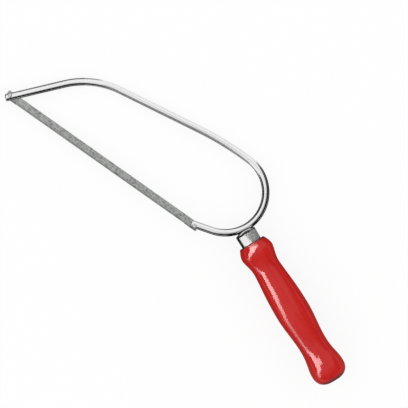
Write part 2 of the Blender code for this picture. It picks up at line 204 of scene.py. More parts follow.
@dataclass
class Shell:
    """A surface in a drawing plane.

    Attributes:
        points: Corner positions, a row each.
        faces: Corner indices of each face.
        drawn: Pattern coordinates of each corner, in millimetres.
    """

    points: Array
    faces: list[list[int]]
    drawn: Array

    @classmethod
    def from_rings(cls, rings: Array, drawn: Array, ends: Ends = Ends.CAPPED) -> Shell:
        """Skin a stack of rings with quads between neighbours, and treat its two ends alike.

        Args:
            rings: Positions, rings by corners by 3.
            drawn: Pattern coordinates in the same layout.
            ends: What becomes of the first and last rings.

        Returns:
            The skinned surface.
        """
        rows, sides = rings.shape[:2]
        row = np.arange(rows if ends is Ends.JOINED else rows - 1)[:, None]
        column = np.arange(sides - 1 if ends is Ends.SHEET else sides)
        here = row * sides
        there = (row + 1) % rows * sides
        ahead = (column + 1) % sides
        quads = grid(here + column, here + ahead, there + ahead, there + column)
        faces = quads.reshape(-1, QUAD).tolist()
        if ends is Ends.CAPPED:
            cap = np.arange(sides)
            faces += [cap[::-1].tolist(), (cap + (rows - 1) * sides).tolist()]
        return cls(rings.reshape(-1, 3), faces, drawn.reshape(-1, 3))

    @classmethod
    def prism(cls, outline: Array, half: float) -> Shell:
        """Carry a flat outline straight through the saw's plane, as far to both sides as half says."""
        rings = np.stack((outline - OUT * half, outline + OUT * half))
        return cls.from_rings(rings, rings / MM)

    def build(self, name: str, plane: SawPlane, finish: Finish) -> Piece:
        """Make the surface an object at the origin, its place in its mesh, and dress it.

        Args:
            name: The object's name.
            plane: Where the drawing lies.
            finish: The only finish of the object.

        Returns:
            The object, linked to the scene.
        """
        mesh = bpy.data.meshes.new(name)
        mesh.from_pydata(plane.place(self.points), [], self.faces)
        shape = bmesh.new()
        shape.from_mesh(mesh)
        bmesh.ops.recalc_face_normals(shape, faces=shape.faces)
        shape.to_mesh(mesh)
        shape.free()
        corners = np.empty(len(mesh.loops), np.int32)
        mesh.loops.foreach_get("vertex_index", corners)
        layer = mesh.attributes.new(PATTERN, "FLOAT_VECTOR", "CORNER")
        layer.data.foreach_set("vector", self.drawn[corners].astype(np.float32).ravel())
        piece = bpy.data.objects.new(name, mesh)
        bpy.context.scene.collection.objects.link(piece)
        finish.dress(piece)
        return piece


def carve(piece: Piece, cutters: Sequence[Piece]) -> None:
    """Take cutters out of a piece for good, weld the slivers that the cuts leave and throw the cutters away.

    Args:
        piece: What is cut.
        cutters: Closed shapes, whose materials line the cuts.
    """
    for cutter in cutters:
        boolean = piece.modifiers.new(cutter.name, "BOOLEAN")
        boolean.operation = "DIFFERENCE"
        boolean.solver = "EXACT"
        boolean.material_mode = "TRANSFER"
        boolean.object = cutter
    view = bpy.context.evaluated_depsgraph_get()
    cut = piece.evaluated_get(view)
    carved = bpy.data.meshes.new_from_object(cut, preserve_all_data_layers=True, depsgraph=view)
    shape = bmesh.new()
    shape.from_mesh(carved)
    bmesh.ops.remove_doubles(shape, verts=shape.verts, dist=WELD)
    bmesh.ops.dissolve_degenerate(shape, edges=shape.edges, dist=WELD)
    bmesh.ops.triangulate(shape, faces=[face for face in shape.faces if len(face.verts) > QUAD])
    bmesh.ops.dissolve_degenerate(shape, edges=shape.edges, dist=WELD)
    shape.to_mesh(carved)
    shape.free()
    plain = piece.data
    piece.modifiers.clear()
    piece.data = carved
    carved.name = piece.name
    bpy.data.meshes.remove(plain)
    for cutter in cutters:
        bpy.data.objects.remove(cutter, do_unlink=True)


def hand_over(piece: Piece, crease: float, body: Body, node: str) -> None:
    """Shade a finished piece smooth, let it ride on its body and stand for its CAD node.

    Args:
        piece: The finished piece.
        crease: Angle in degrees past which its edges stay sharp.
        body: What it moves with.
        node: The CAD node that it stands for.
    """
    piece.data.shade_smooth()
    piece.data.set_sharp_from_angle(angle=math.radians(crease))
    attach(piece, body.value)
    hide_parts(node)
    LOG.info("%s stands for %s, %d faces", piece.name, node, len(piece.data.polygons))


class Signal:
    """A value socket that adds Math nodes when it is used in arithmetic."""

    def __init__(self, wiring: Wiring, socket: Socket) -> None:
        """Wrap an output socket of a wiring."""
        self.wiring = wiring
        self.socket = socket

    def math(self, operation: str, first: Signal | float, second: Signal | float) -> Signal:
        """Signal of a Math node with two inputs."""
        return self.wiring.signal("ShaderNodeMath", {"operation": operation}, {0: first, 1: second})

    def __add__(self, other: Signal | float) -> Signal:
        """Sum."""
        return self.math("ADD", self, other)

    def __radd__(self, other: float) -> Signal:
        """Sum with a number on the left."""
        return self.math("ADD", other, self)

    def __sub__(self, other: Signal | float) -> Signal:
        """Difference."""
        return self.math("SUBTRACT", self, other)

    def __rsub__(self, other: float) -> Signal:
        """Difference from a number on the left."""
        return self.math("SUBTRACT", other, self)

    def __mul__(self, other: Signal | float) -> Signal:
        """Product."""
        return self.math("MULTIPLY", self, other)

    def __rmul__(self, other: float) -> Signal:
        """Product with a number on the left."""
        return self.math("MULTIPLY", other, self)

    def __pow__(self, other: float) -> Signal:
        """Power."""
        return self.math("POWER", self, other)

    def above(self, low: float, high: float) -> Signal:
        """Smooth step from 0 at low to 1 at high, or the other way where high is the smaller."""
        levels = {"Value": self, "From Min": low, "From Max": high}
        return self.wiring.signal("ShaderNodeMapRange", {"interpolation_type": "SMOOTHSTEP"}, levels)

    def near(self, middle: float, reach: float, core: float) -> Signal:
        """Hump about a middle, 0 past its reach and 1 within the core's share of the squared reach."""
        off = self - middle
        return (off * off).above(reach ** 2, core * reach ** 2)


def weighted(weights: Weights, *parts: Signal) -> Signal:
    """Sum of a constant and of parts with a weight each.

    Args:
        weights: The constant, then the weights.
        parts: What is weighted.

    Returns:
        The sum.
    """
    total = weights[0]
    for weight, part in zip(weights[1:], parts, strict=True):
        total = total + part * weight
    return total


@dataclass(frozen=True)
class Grain:
    """A cloudy noise of a finish.

    Attributes:
        scale: Features to the millimetre along X, Y and Z.
        detail: Octaves.
        rough: Weight of the finer octaves.
        step: Levels between which it steps from 0 to 1, if it does.
    """

    scale: Triple
    detail: float = 3.0
    rough: float = 0.5
    step: Pair | None = None


class Wiring:
    """Node tree of one finish, with a method for every kind of node it needs."""

    def __init__(self, tree: bpy.types.NodeTree) -> None:
        """Start from a tree that holds only its default nodes."""
        self.tree = tree

    def node(self, kind: str, settings: dict, inputs: dict) -> bpy.types.Node:
        """Add a node, set it up and feed it.

        Args:
            kind: The node's type.
            settings: Properties by name.
            inputs: Numbers, tuples, signals or sockets by the socket's name or number.

        Returns:
            The node.
        """
        made = self.tree.nodes.new(kind)
        for name, value in settings.items():
            setattr(made, name, value)
        self.feed(made, inputs)
        return made

    def feed(self, node: bpy.types.Node, inputs: dict) -> None:
        """Link signals and sockets to a node's inputs, and set plain values and colours on them.

        Args:
            node: The node.
            inputs: Values or links by the socket's name or number.
        """
        for key, value in inputs.items():
            socket = node.inputs[key]
            source = value.socket if isinstance(value, Signal) else value
            if isinstance(source, Socket):
                self.tree.links.new(source, socket)
            else:
                socket.default_value = (*source, 1.0) if socket.type == "RGBA" else source

    def signal(self, kind: str, settings: dict, inputs: dict, output: int | str = 0) -> Signal:
        """Add a node and wrap one of its outputs."""
        return Signal(self, self.node(kind, settings, inputs).outputs[output])

    def drawn(self) -> Socket:
        """The piece's own pattern coordinates, in millimetres."""
        return self.node("ShaderNodeAttribute", {"attribute_name": PATTERN}, {}).outputs["Vector"]

    def scaled(self, place: Socket, scale: Triple) -> Socket:
        """Pattern coordinates multiplied axis by axis."""
        return self.node("ShaderNodeVectorMath", {"operation": "MULTIPLY"}, {0: place, 1: scale}).outputs[0]

    def noises(self, place: Socket, *grains: Grain) -> list[Signal]:
        """Cloudy noises, each about 0.5 in the middle or stepped as its grain says.

        Args:
            place: Pattern coordinates.
            grains: What the noises are like.

        Returns:
            A noise for each grain.
        """
        made = []
        for grain in grains:
            inputs = {"Vector": self.scaled(place, grain.scale), "Scale": 1.0, "Detail": grain.detail,
                      "Roughness": grain.rough}
            noise = self.signal("ShaderNodeTexNoise", {"normalize": True}, inputs)
            made.append(noise.above(*grain.step) if grain.step else noise)
        return made

    def axis(self, place: Socket, name: str) -> Signal:
        """One coordinate of a place."""
        return self.signal("ShaderNodeSeparateXYZ", {}, {0: place}, name)

    def tint(self, share: Signal, plain: Colour | Socket, other: Colour | Socket) -> Socket:
        """Colour that goes from a plain one to another as the share of the other grows."""
        inputs = {0: share, MIX_FIRST: plain, MIX_SECOND: other}
        return self.node("ShaderNodeMix", {"data_type": "RGBA"}, inputs).outputs[MIX_RESULT]

    def bump(self, height: Signal, depth: float) -> Socket:
        """Normal of a relief whose height of 1 stands for the depth, in metres."""
        inputs = {"Strength": 1.0, "Distance": depth, "Height": height}
        return self.node("ShaderNodeBump", {}, inputs).outputs[0]

    def finish(self, colour: Socket, roughness: Signal, normal: Socket, others: dict) -> None:
        """Feed the Principled shader.

        Args:
            colour: Base colour.
            roughness: Roughness over the surface.
            normal: Relief.
            others: Other sockets by name.
        """
        inputs = {"Base Color": colour, "Roughness": roughness, "Normal": normal, **others}
        self.feed(self.tree.nodes["Principled BSDF"], inputs)

    def glow(self, colour: Socket) -> Socket:
        """Shader of an even glow."""
        return self.node("ShaderNodeEmission", {}, {"Color": colour, "Strength": 1.0}).outputs[0]

    def show(self, shader: Socket) -> None:
        """Let a shader be all that the material shows."""
        self.feed(self.tree.nodes["Material Output"], {"Surface": shader})


class Finish:
    """A procedural surface that knows how to wire itself."""

    name: str

    def wire(self, wiring: Wiring) -> None:
        """Fill a fresh material's tree."""
        raise NotImplementedError

    def material(self) -> bpy.types.Material:
        """Material of this finish, made once.

        Returns:
            The material.
        """
        made = bpy.data.materials.get(self.name)
        if made is None:
            made = bpy.data.materials.new(self.name)
            made.use_nodes = True
            self.wire(Wiring(made.node_tree))
        return made

    def dress(self, piece: Piece) -> None:
        """Make this the only finish of a piece."""
        piece.data.materials.clear()
        piece.data.materials.append(self.material())


@dataclass(frozen=True)
class BrightPlate(Finish):
    """Nickel plate over drawn rod: faint lines along the rod, cloudy lustre, a few dull specks and painted
    shade beside the collar.

    Attributes:
        speck: How much of that colour a speck takes on.
        collar_shade: Nearly black colour of the painted shade on the outside of the bow around the collar.
        joint: Place of the brazed joint along the rod, reach of the painted shade to each side and its core.
        outside: Distances to the left of the rod's middle between which the painted shade sets in.
    """

    name: str = "bright_plate"
    colour: Colour = (0.84, 0.84, 0.845)
    dull: Colour = (0.62, 0.61, 0.59)
    speck: float = 0.6
    # Colour of the painted shade where the collar sits against the rod.
    collar_shade: Colour = (0.03, 0.03, 0.028)
    joint: Triple = (230.8, 13.0, 0.5)
    outside: Pair = (1.1, 1.9)
    lines: Grain = Grain((0.03, 2.2, 2.2), 4.0)
    cloud: Grain = Grain((0.08, 0.25, 0.25), 2.0, step=(0.4, 0.7))
    specks: Grain = Grain((0.9, 1.1, 1.1), 2.0, step=(0.68, 0.78))
    roughness: Weights = (0.07, 0.05, 0.04, 0.15, 0.3)
    relief: Weights = (0.0, 1.0, -0.4)
    depth: float = 0.004 * MM

    def wire(self, wiring: Wiring) -> None:
        """Lines stretched along the rod's length, specks where a fine noise peaks and a patch of painted
        shade beside the collar.

        Args:
            wiring: Tree to fill.
        """
        place = wiring.drawn()
        lines, cloud, specks = wiring.noises(place, self.lines, self.cloud, self.specks)
        # Painted shade: the rod's outer side goes nearly black about the collar.
        shade_by_collar = wiring.axis(place, "X").near(*self.joint) * wiring.axis(place, "Y").above(*self.outside)
        plate = wiring.tint(specks * self.speck, self.colour, self.dull)
        colour = wiring.tint(shade_by_collar, plate, self.collar_shade)
        roughness = weighted(self.roughness, lines, cloud, specks, shade_by_collar)
        normal = wiring.bump(weighted(self.relief, lines, specks), self.depth)
        wiring.finish(colour, roughness, normal, {"Metallic": 1.0})


@dataclass(frozen=True)
class SawnSteel(Finish):
    """Bare steel of the slots and notches, darkened as painted shade inside them and more so in patches, with
    the marks of the saw and file across them.
    """

    name: str = "sawn_steel"
    # Both colours are darkened to paint the shade inside the slots and notches.
    colour: Colour = (0.22, 0.22, 0.222)
    dark: Colour = (0.05, 0.049, 0.047)
    marks: Grain = Grain((5.0, 5.0, 0.3))
    painted_shade: Grain = Grain((0.7, 0.7, 0.7), step=(0.45, 0.75))
    roughness: Weights = (0.32, 0.25)
    depth: float = 0.02 * MM

    def wire(self, wiring: Wiring) -> None:
        """Cutting marks run through the saw's plane, and painted shade lies deeper in patches.

        Args:
            wiring: Tree to fill.
        """
        marks, painted_shade = wiring.noises(wiring.drawn(), self.marks, self.painted_shade)
        # Painted shade: where the patches step up, the steel goes nearly black.
        colour = wiring.tint(painted_shade, self.colour, self.dark)
        normal = wiring.bump(marks, self.depth)
        wiring.finish(colour, weighted(self.roughness, marks), normal, {"Metallic": 1.0})


@dataclass(frozen=True)
class TurnedSteel(Finish):
    """Steel turned or drawn on a lathe: rings round its axis and a cloudy tarnish, as on the blade's pins.

    Attributes:
        sets_in: Level of the cloud where tarnish sets in.
        rise: How much higher the cloud is where it is full.
        painted_reflection_lean: How much the cloud rises with every millimetre across the axis, which lays a
            painted dark reflection over one side.
        mottle: Share of the tarnish's colour that is even, and that which follows a fine noise.
        matt: Share of the mirror that tarnish takes away.
    """

    name: str = "turned_pin"
    colour: Colour = (0.66, 0.66, 0.655)
    tarnish: Colour = (0.30, 0.295, 0.285)
    sets_in: float = 0.55
    rise: float = 0.2
    painted_reflection_lean: float = 0.0
    mottle: Weights = (0.4, 0.6)
    matt: float = 0.2
    rings: Grain = Grain((0.02, 0.02, 7.0), 3.0, 0.6)
    cloud: Grain = Grain((0.9, 0.9, 0.9), 4.0, 0.65)
    fine: Grain = Grain((1.3, 1.3, 1.3), 3.0, 0.7, (0.36, 0.62))
    roughness: Weights = (0.07, 0.06, 0.12)
    depth: float = 0.004 * MM

    def wire(self, wiring: Wiring) -> None:
        """Rings vary along the axis alone, and tarnish follows a cloud that the lean tilts across the axis as
        a painted dark reflection.

        Args:
            wiring: Tree to fill.
        """
        place = wiring.drawn()
        rings, cloud, fine = wiring.noises(place, self.rings, self.cloud, self.fine)
        # With a lean, this lays a painted dark reflection over one side as well as tarnish.
        leaning = cloud + wiring.axis(place, "X") * self.painted_reflection_lean
        tarnish = leaning.above(self.sets_in, self.sets_in + self.rise)
        colour = wiring.tint(tarnish * weighted(self.mottle, fine), self.colour, self.tarnish)
        roughness = weighted(self.roughness, rings, tarnish)
        colour, roughness = self.paint_shade(wiring, place, colour, roughness)
        normal = wiring.bump(rings, self.depth)
        wiring.finish(colour, roughness, normal, {"Metallic": 1.0 - tarnish * self.matt})

    def paint_shade(self, wiring: Wiring, place: Socket, colour: Socket, roughness: Signal) -> tuple[Socket, Signal]:
        """Colour and roughness with painted shade laid on, here none."""
        return colour, roughness


@dataclass(frozen=True)
class DrawnCap(TurnedSteel):
    """Drawn steel of the ferrule, bright on one side and darker on the other, where matt tarnish and a
    painted dark reflection lie.
    """

    name: str = "drawn_cap"
    colour: Colour = (0.83, 0.83, 0.825)
    # Painted reflection: this dark colour and the lean below also stand for the dark that one side of the
    # ferrule mirrors.
    tarnish: Colour = (0.16, 0.167, 0.158)
    sets_in: float = 0.39
    painted_reflection_lean: float = 0.11
    matt: float = 0.7
    roughness: Weights = (0.07, 0.06, 0.42)


@dataclass(frozen=True)
class BrazedSteel(TurnedSteel):
    """Turned steel brazed to a bow, with nearly black painted shade in the crevice beside it and along its
    back rim.

    Attributes:
        bow: Radius of the bow, in millimetres.
        slope: Slope of the bow against the turned piece.
        crevice: Distances from the bow's middle line where the painted shade is gone and where it is full.
        rim: Station of the painted shade along the rim, its reach and its core.
        shade_thinned: Distances to the left of the axis between which the painted shade thins out.
        shade_thinning: How much of the painted shade is taken off there.
    """

    name: str = "turned_collar"
    colour: Colour = (0.74, 0.74, 0.735)
    sets_in: float = 0.45
    # Colour of the painted shade in the crevice and along the rim.
    crevice_shade: Colour = (0.02, 0.02, 0.018)
    bow: float = 26.8
    slope: float = 0.093
    crevice: Pair = (4.6, 2.9)
    rim: Triple = (3.35, 0.55, 0.3)
    shade_thinned: Pair = (2.5, 5.5)
    shade_thinning: float = 0.8
    shade_roughening: float = 0.4

    def paint_shade(self, wiring: Wiring, place: Socket, colour: Socket, roughness: Signal) -> tuple[Socket, Signal]:
        """Painted shade, laid by the distance from the bow's curved middle line, and by that from the rim's
        station.

        Args:
            wiring: Tree that it goes in.
            place: Pattern coordinates.
            colour: Colour of the steel.
            roughness: Roughness of the steel.

        Returns:
            The colour and roughness with the painted shade laid on.
        """
        across, height, station = (wiring.axis(place, name) for name in "XYZ")
        from_bow = station + across * across * (0.5 / self.bow) + across * self.slope
        distance = (from_bow * from_bow + height * height) ** 0.5
        # Painted shade: nearly black in the crevice against the bow and along the back rim, thinner on one
        # side.
        black = (distance.above(*self.crevice) + station.near(*self.rim)).above(0.0, 1.0)
        black = black * (1.0 - across.above(*self.shade_thinned) * self.shade_thinning)
        return wiring.tint(black, colour, self.crevice_shade), roughness + black * self.shade_roughening


@dataclass(frozen=True)
class RedLacquer(Finish):
    """Gloss red lacquer over turned wood: grain just showing, a wavy skin, light scuffs on the crests and
    painted shade by the ferrule and on the butt's end.

    Attributes:
        painted_shade: Painted shade in the corner by the ferrule.
        butt_shade: Painted shade on the end of the butt.
        neck: Radii between which the lacquer pools in the necks.
        crest: Radii between which scuffs set in on the crests.
        corner: Stations between which the painted shade by the ferrule ends.
        butt: Stations between which the painted shade of the butt's end sets in.
        shares: How much of their colours the scuffs and the two painted shades take on.
    """

    name: str = "red_lacquer"
    colour: Colour = (0.565, 0.018, 0.0155)
    grain: Colour = (0.45, 0.010, 0.009)
    scuff: Colour = (0.60, 0.05, 0.045)
    # Painted shade: the next two colours darken the lacquer by the ferrule and on the butt's end.
    painted_shade: Colour = (0.07, 0.012, 0.014)
    butt_shade: Colour = (0.085, 0.004, 0.008)
    neck: Pair = (10.6, 9.5)
    crest: Pair = (10.9, 11.6)
    corner: Pair = (12.4, 11.7)
    butt: Pair = (113.6, 117.2)
    streaky: Pair = (0.42, 0.72)
    streaks: Grain = Grain((0.55, 0.55, 0.022), 4.0, 0.6)
    pores: Grain = Grain((3.2, 3.2, 0.10), 2.0, step=(0.62, 0.74))
    handled: Grain = Grain((0.28, 0.28, 0.28), 4.0, 0.65, (0.56, 0.72))
    skin: Grain = Grain((0.30, 0.30, 0.11), 2.0, 0.4)
    ribs: Grain = Grain((0.95, 0.95, 0.13), 3.0, 0.55)
    peel: Grain = Grain((1.6, 1.6, 1.1), 2.0)
    grain_shares: Weights = (0.0, 0.5, 0.22, 0.2)
    shares: Triple = (0.3, 0.8, 0.9)
    gloss: float = 0.25
    roughness: Weights = (0.07, 0.05, 0.15, 0.32)
    relief: Weights = (0.0, 1.0, 0.30, 0.22, -0.08)
    depth: float = 0.05 * MM

    def wire(self, wiring: Wiring) -> None:
        """Grain runs along the handle, lacquer pools in the necks and wears on the crests, and painted shade
        darkens the corner by the ferrule and the butt's end.

        Args:
            wiring: Tree to fill.
        """
        place = wiring.drawn()
        streaks, pores, handled = wiring.noises(place, self.streaks, self.pores, self.handled)
        flat = wiring.scaled(place, (1.0, 1.0, 0.0))
        radius = wiring.signal("ShaderNodeVectorMath", {"operation": "LENGTH"}, {0: flat}, "Value")
        station = wiring.axis(place, "Z")
        scuffed = handled * radius.above(*self.crest)
        corner = station.above(*self.corner)
        shown = weighted(self.grain_shares, streaks.above(*self.streaky), radius.above(*self.neck), pores)
        colour = wiring.tint(shown, self.colour, self.grain)
        # After the scuffs, painted shade is laid by the ferrule and on the end of the butt.
        places = (scuffed, corner, station.above(*self.butt))
        layers = (self.scuff, self.painted_shade, self.butt_shade)
        for where, share, layer in zip(places, self.shares, layers, strict=True):
            colour = wiring.tint(where * share, colour, layer)
        roughness = weighted(self.roughness, streaks, scuffed, corner)
        skin = wiring.noises(place, self.skin, self.ribs, self.peel)
        normal = wiring.bump(weighted(self.relief, *skin, pores), self.depth)
        wiring.finish(colour, roughness, normal, {"Specular IOR Level": self.gloss})


@dataclass(frozen=True)
class HardenedStrip(Finish):
    """Matt grey blade strip: rolling lines along it, mottled scale and a darker band along the teeth.

    Attributes:
        band: Heights between which the band sets in.
        ragged: How far the mottle moves the band's edge.
        blotches: Levels of the mottle between which scale sets in.
    """

    name: str = "hardened_strip"
    colour: Colour = (0.51, 0.524, 0.507)
    scale: Colour = (0.10, 0.106, 0.10)
    edge: Colour = (0.12, 0.125, 0.12)
    band: Pair = (-1.0, -2.4)
    ragged: float = 1.2
    edge_share: float = 0.6
    lines: Grain = Grain((0.05, 4.5, 4.5), 4.0)
    mottle: Grain = Grain((0.55, 0.8, 0.8), 4.0, 0.6)
    blotches: Pair = (0.42, 0.75)
    scale_shares: Weights = (0.0, 0.75, 0.15)
    metal: float = 0.9
    roughness: Weights = (0.36, 0.12, 0.1)
    relief: Weights = (0.0, 1.0, 0.5)
    depth: float = 0.006 * MM

    def wire(self, wiring: Wiring) -> None:
        """Lines stretched along the blade, mottle at about a millimetre and a soft-edged band.

        Args:
            wiring: Tree to fill.
        """
        place = wiring.drawn()
        lines, mottle = wiring.noises(place, self.lines, self.mottle)
        height = wiring.axis(place, "Y") + (mottle - NOISE_MIDDLE) * self.ragged
        scaly = weighted(self.scale_shares, mottle.above(*self.blotches), lines)
        mottled = wiring.tint(scaly, self.colour, self.scale)
        colour = wiring.tint(height.above(*self.band) * self.edge_share, mottled, self.edge)
        normal = wiring.bump(weighted(self.relief, lines, mottle), self.depth)
        wiring.finish(colour, weighted(self.roughness, lines, mottle), normal, {"Metallic": self.metal})


@dataclass(frozen=True)
class TangSteel(Finish):
    """Plain steel of the hidden tang, on Object coordinates in metres because its CAD mesh stays."""

    name: str = "scaled_tang"
    colour: Colour = (0.40, 0.40, 0.41)
    dark: Colour = (0.22, 0.215, 0.21)
    scale: Grain = Grain((300.0, 300.0, 300.0), 4.0)
    blotches: Pair = (0.4, 0.7)
    roughness: Weights = (0.3, 0.3)
    depth: float = 0.02 * MM

    def wire(self, wiring: Wiring) -> None:
        """Blotches of mill scale.

        Args:
            wiring: Tree to fill.
        """
        own = wiring.node("ShaderNodeTexCoord", {}, {}).outputs["Object"]
        (scale,) = wiring.noises(own, self.scale)
        colour = wiring.tint(scale.above(*self.blotches), self.colour, self.dark)
        normal = wiring.bump(scale, self.depth)
        wiring.finish(colour, weighted(self.roughness, scale), normal, {"Metallic": 1.0})


@dataclass
class BentRod:
    """The plated rod: nose leg, nose bend, back, shoulder, bow and tail, with its two blade seats."""

    plane: SawPlane
    plate: Finish = BrightPlate()
    bare: Finish = SawnSteel()
    pin_spacing: float = 150.0 * MM
    radius: float = 2.5 * MM
    end_round: float = 0.85 * MM
    end_steps: int = 6
    nose_angle: float = math.radians(48.5)
    nose_overhang: float = 3.4 * MM
    nose_bend: float = 56.0 * MM
    back_slope: float = math.radians(8.9)
    shoulder: float = 210.0 * MM
    shoulder_turn: float = math.radians(10.7)
    bow: float = 26.8 * MM
    tail_angle: float = math.radians(15.9)
    tail_reach: float = 11.9 * MM
    tail_overhang: float = 2.9 * MM
    leg_share: float = 0.9
    leg_steps: int = 24
    pin_offset: float = 0.8 * MM
    seat_angle: float = math.radians(-28.9)
    slot_width: float = 1.01 * MM
    slot_reach: float = 5.0 * MM
    slot_depths: Pair = (8.2 * MM, 4.2 * MM)
    notch_radius: float = 1.35 * MM
    notch_reach: float = 7.5 * MM
    notch_steps: int = 25
    sides: int = 64
    chord_error: float = 0.004 * MM
    crease: float = 30.0

    def __post_init__(self) -> None:
        """Set out the bends from the two pins."""
        self.rear_pin = np.array((self.pin_spacing, 0.0, 0.0))
        self.nose = heading(self.nose_angle)
        self.tail = heading(self.tail_angle)
        self.nose_foot = -left_of(self.nose) * self.pin_offset
        self.tail_foot = self.rear_pin + left_of(self.tail) * self.pin_offset
        self.crown = self.back_slope - self.shoulder_turn
        bow_end = self.tail_foot + self.tail * self.tail_reach
        self.bow_centre = bow_end + left_of(self.tail) * self.bow
        self.shoulder_centre = self.bow_centre - left_of(heading(self.crown)) * (self.shoulder - self.bow)
        across = left_of(heading(self.back_slope))
        gap = self.shoulder_centre + across * self.shoulder - self.nose_foot
        corner = self.nose_foot + self.nose * (gap @ across) / (self.nose @ across)
        setback = self.nose_bend * math.tan((self.nose_angle - self.back_slope) / 2)
        self.bend_centre = corner - self.nose * setback - left_of(self.nose) * self.nose_bend

    def seat(self) -> Array:
        """Point of the bow that the handle's axis runs through."""
        return self.bow_centre + heading(self.seat_angle) * self.bow

    def arc(self, centre: Array, radius: float, start: float, end: float) -> tuple[Array, Array]:
        """Right-hand bend between two headings, in steps that keep its chords close to the curve.

        Args:
            centre: Centre of the bend.
            radius: Radius of the rod's middle.
            start: First heading.
            end: Last heading.

        Returns:
            The points and the headings at them.
        """
        step = 2 * math.acos(1 - self.chord_error / radius)
        turns = np.linspace(start, end, math.ceil((start - end) / step) + 1)
        return centre + left_of(heading(turns)) * radius, turns

    def leg(self, foot: Array, along: Array, overhang: float) -> tuple[Array, Array]:
        """Rod end with its edge rounded off and a run of close stations behind it.

        Args:
            foot: Point of the rod beside the pin.
            along: Direction from the end into the rod.
            overhang: How far the end lies before the foot.

        Returns:
            The points from the end inwards and the rod's radius at them.
        """
        inset, advance = round_off(self.end_round, self.end_steps)
        run = np.linspace(self.end_round, overhang + self.tail_reach * self.leg_share, self.leg_steps)[1:]
        reach = np.concatenate((advance, run)) - overhang
        radii = np.concatenate((self.radius - inset, np.full_like(run, self.radius)))
        return foot + along * reach[:, None], radii

    def route(self) -> tuple[Array, Array, Array]:
        """Middle line of the rod from its nose to its tail.

        Returns:
            The points, the headings and the radii.
        """
        nose, nose_radii = self.leg(self.nose_foot, self.nose, self.nose_overhang)
        tail, tail_radii = self.leg(self.tail_foot, self.tail, self.tail_overhang)
        last = self.tail_angle - math.pi
        bend, bend_turns = self.arc(self.bend_centre, self.nose_bend, self.nose_angle, self.back_slope)
        back, back_turns = self.arc(self.shoulder_centre, self.shoulder, self.back_slope, self.crown)
        bow, bow_turns = self.arc(self.bow_centre, self.bow, self.crown, last)
        points = np.concatenate((nose, bend, back[:-1], bow, tail[::-1]))
        turns = np.concatenate((np.full(len(nose), self.nose_angle), bend_turns, back_turns[:-1], bow_turns,
                                np.full(len(tail), last)))
        radii = np.full(len(points), self.radius)
        radii[:len(nose)] = nose_radii
        radii[-len(tail):] = tail_radii[::-1]
        return points, turns, radii

    def sweep(self, points: Array, turns: Array, radii: Array) -> Shell:
        """Carry a circle along a route in the saw's plane.

        A corner lies at the route's point, plus the left-hand direction times the radius and the cosine of
        its angle, plus the plane's normal times the radius and the sine. Its pattern place is the same
        corner on the rod laid out straight.

        Args:
            points: The route.
            turns: Its headings.
            radii: The circle's radius at each point.

        Returns:
            The swept surface with capped ends.
        """
        across, above = (radii[:, None] * part for part in circle(self.sides))
        left = left_of(heading(turns))
        rings = points[:, None] + across[..., None] * left[:, None] + above[..., None] * OUT
        steps = np.linalg.norm(np.diff(points, axis=0), axis=1)
        length = np.append(0.0, np.cumsum(steps))
        return Shell.from_rings(rings, grid(length[:, None], across, above) / MM)

    def slot_shell(self, foot: Array, along: Array, overhang: float, depth: float) -> Shell:
        """Kerf for the blade, a prism from past the rod's end to a depth behind the pin.

        Args:
            foot: Point of the rod beside the pin.
            along: Direction from the end into the rod.
            overhang: How far the end lies before the foot.
            depth: How far the kerf runs past the foot.

        Returns:
            The kerf's cutter.
        """
        side = left_of(along) * self.slot_reach
        back = foot - along * (overhang + self.radius)
        front = foot + along * depth
        outline = np.stack((back - side, front - side, front + side, back + side))
        return Shell.prism(outline, self.slot_width / 2)

    def notch_shell(self, pin: Array, way_out: Array) -> Shell:
        """Round-bottomed notch about a pin, open along the way that the pin leaves.

        Args:
            pin: The pin's centre.
            way_out: Direction that the pin leaves by.

        Returns:
            The notch's cutter, a half circle with straight sides.
        """
        side = left_of(way_out)
        turn = np.linspace(0.0, math.pi, self.notch_steps)[:, None]
        floor = pin + self.notch_radius * (side * np.cos(turn) - way_out * np.sin(turn))
        mouth = pin + way_out * self.notch_reach
        edges = np.stack((mouth - side * self.notch_radius, mouth + side * self.notch_radius))
        return Shell.prism(np.concatenate((floor, edges)), self.slot_reach)

    def build(self) -> None:
        """Make the rod, cut its two blade seats and hand it over."""
        rod = self.sweep(*self.route()).build("bent_rod", self.plane, self.plate)
        nose_depth, tail_depth = self.slot_depths
        cuts = {"nose_slot": self.slot_shell(self.nose_foot, self.nose, self.nose_overhang, nose_depth),
                "nose_notch": self.notch_shell(np.zeros(3), left_of(self.nose)),
                "tail_slot": self.slot_shell(self.tail_foot, self.tail, self.tail_overhang, tail_depth),
                "tail_notch": self.notch_shell(self.rear_pin, heading(-QUARTER))}
        carve(rod, [shell.build(name, self.plane, self.bare) for name, shell in cuts.items()])
        hand_over(rod, self.crease, Body.FRAME, "frame_rod")


